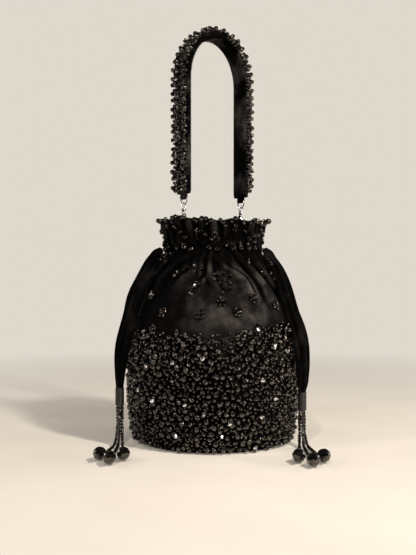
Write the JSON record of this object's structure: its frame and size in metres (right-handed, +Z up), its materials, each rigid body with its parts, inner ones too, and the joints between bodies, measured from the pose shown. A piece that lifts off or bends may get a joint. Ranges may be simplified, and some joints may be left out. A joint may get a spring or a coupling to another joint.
{
  "type": "potli bag",
  "caption": "Round black velvet drawstring pouch with a beaded body, ruffled collar, bead tassels and a beaded strap handle on two swivel clasps.",
  "frame": {"origin": "on the pouch's axis, in the plane that it stands on", "axes": "+Z up along the pouch's axis, +X to the right of the front, -Y towards the viewer; the handle's plane is turned 34 degrees about +Z from +X"},
  "size_m": [0.2063, 0.2206, 0.4074],
  "materials": {
    "velvet": "black velvet pile",
    "black_bead": "opaque black glass, polished",
    "steel": "bright plated",
    "ribbon": "folded velvet ribbon",
    "thread": "wound thread",
    "satin": "black satin",
    "board": "stiff board"
  },
  "bodies": {
    "bag": {"pouch": "velvet", "base_panel": "velvet", "base_board": "board", "lining": "satin", "drawstring_loop_upper": "ribbon", "drawstring_loop_lower": "ribbon", "hanger_loop_left": "ribbon", "hanger_loop_right": "ribbon", "collar_ring_left": "steel", "collar_ring_right": "steel", "ribbon_left": "ribbon", "ribbon_right": "ribbon", "tassel_wrap_left": "thread", "tassel_wrap_right": "thread", "strand_outer_left": "black_bead", "strand_middle_left": "black_bead", "strand_inner_left": "black_bead", "strand_outer_right": "black_bead", "strand_middle_right": "black_bead", "strand_inner_right": "black_bead", "spacer_outer_left": "black_bead", "spacer_middle_left": "black_bead", "spacer_inner_left": "black_bead", "spacer_outer_right": "black_bead", "spacer_middle_right": "black_bead", "spacer_inner_right": "black_bead", "drop_outer_left": "black_bead", "drop_middle_left": "black_bead", "drop_inner_left": "black_bead", "drop_outer_right": "black_bead", "drop_middle_right": "black_bead", "drop_inner_right": "black_bead", "end_bead_outer_left": "black_bead", "end_bead_middle_left": "black_bead", "end_bead_inner_left": "black_bead", "end_bead_outer_right": "black_bead", "end_bead_middle_right": "black_bead", "end_bead_inner_right": "black_bead"},
    "handle": {"handle_strap": "velvet", "strap_tab_left": "velvet", "strap_tab_right": "velvet", "d_ring_left": "steel", "d_ring_right": "steel", "swivel_eye_left": "steel", "swivel_eye_right": "steel"},
    "clasp_left": {"clasp_hook_left": "steel"},
    "clasp_right": {"clasp_hook_right": "steel"},
    "gate_left": {"clasp_gate_left": "steel"},
    "gate_right": {"clasp_gate_right": "steel"}
  },
  "joints": [
    {"name": "handle_swing", "type": "hinge", "parent": "bag", "child": "handle", "pos_m": [0, 0, 0.2185], "axis": [0.829, 0.5592, 0], "range_deg": [-60, 60]},
    {"name": "clasp_left_swivel", "type": "hinge", "parent": "handle", "child": "clasp_left", "pos_m": [-0.0286, -0.01929, 0.2185], "axis": [0, 0, 1], "range_deg": [-30, 30]},
    {"name": "gate_left_hinge", "type": "hinge", "parent": "clasp_left", "child": "gate_left", "pos_m": [-0.03006, -0.01714, 0.22255], "axis": [-0.829, -0.5592, 0], "range_deg": [0, 28], "stiffness_Nm_per_rad": 0.0075},
    {"name": "clasp_right_swivel", "type": "hinge", "parent": "handle", "child": "clasp_right", "pos_m": [0.0286, 0.01929, 0.2185], "axis": [0, 0, 1], "range_deg": [-30, 30]},
    {"name": "gate_right_hinge", "type": "hinge", "parent": "clasp_right", "child": "gate_right", "pos_m": [0.02715, 0.02145, 0.22255], "axis": [-0.829, -0.5592, 0], "range_deg": [0, 28], "stiffness_Nm_per_rad": 0.0075}
  ]
}
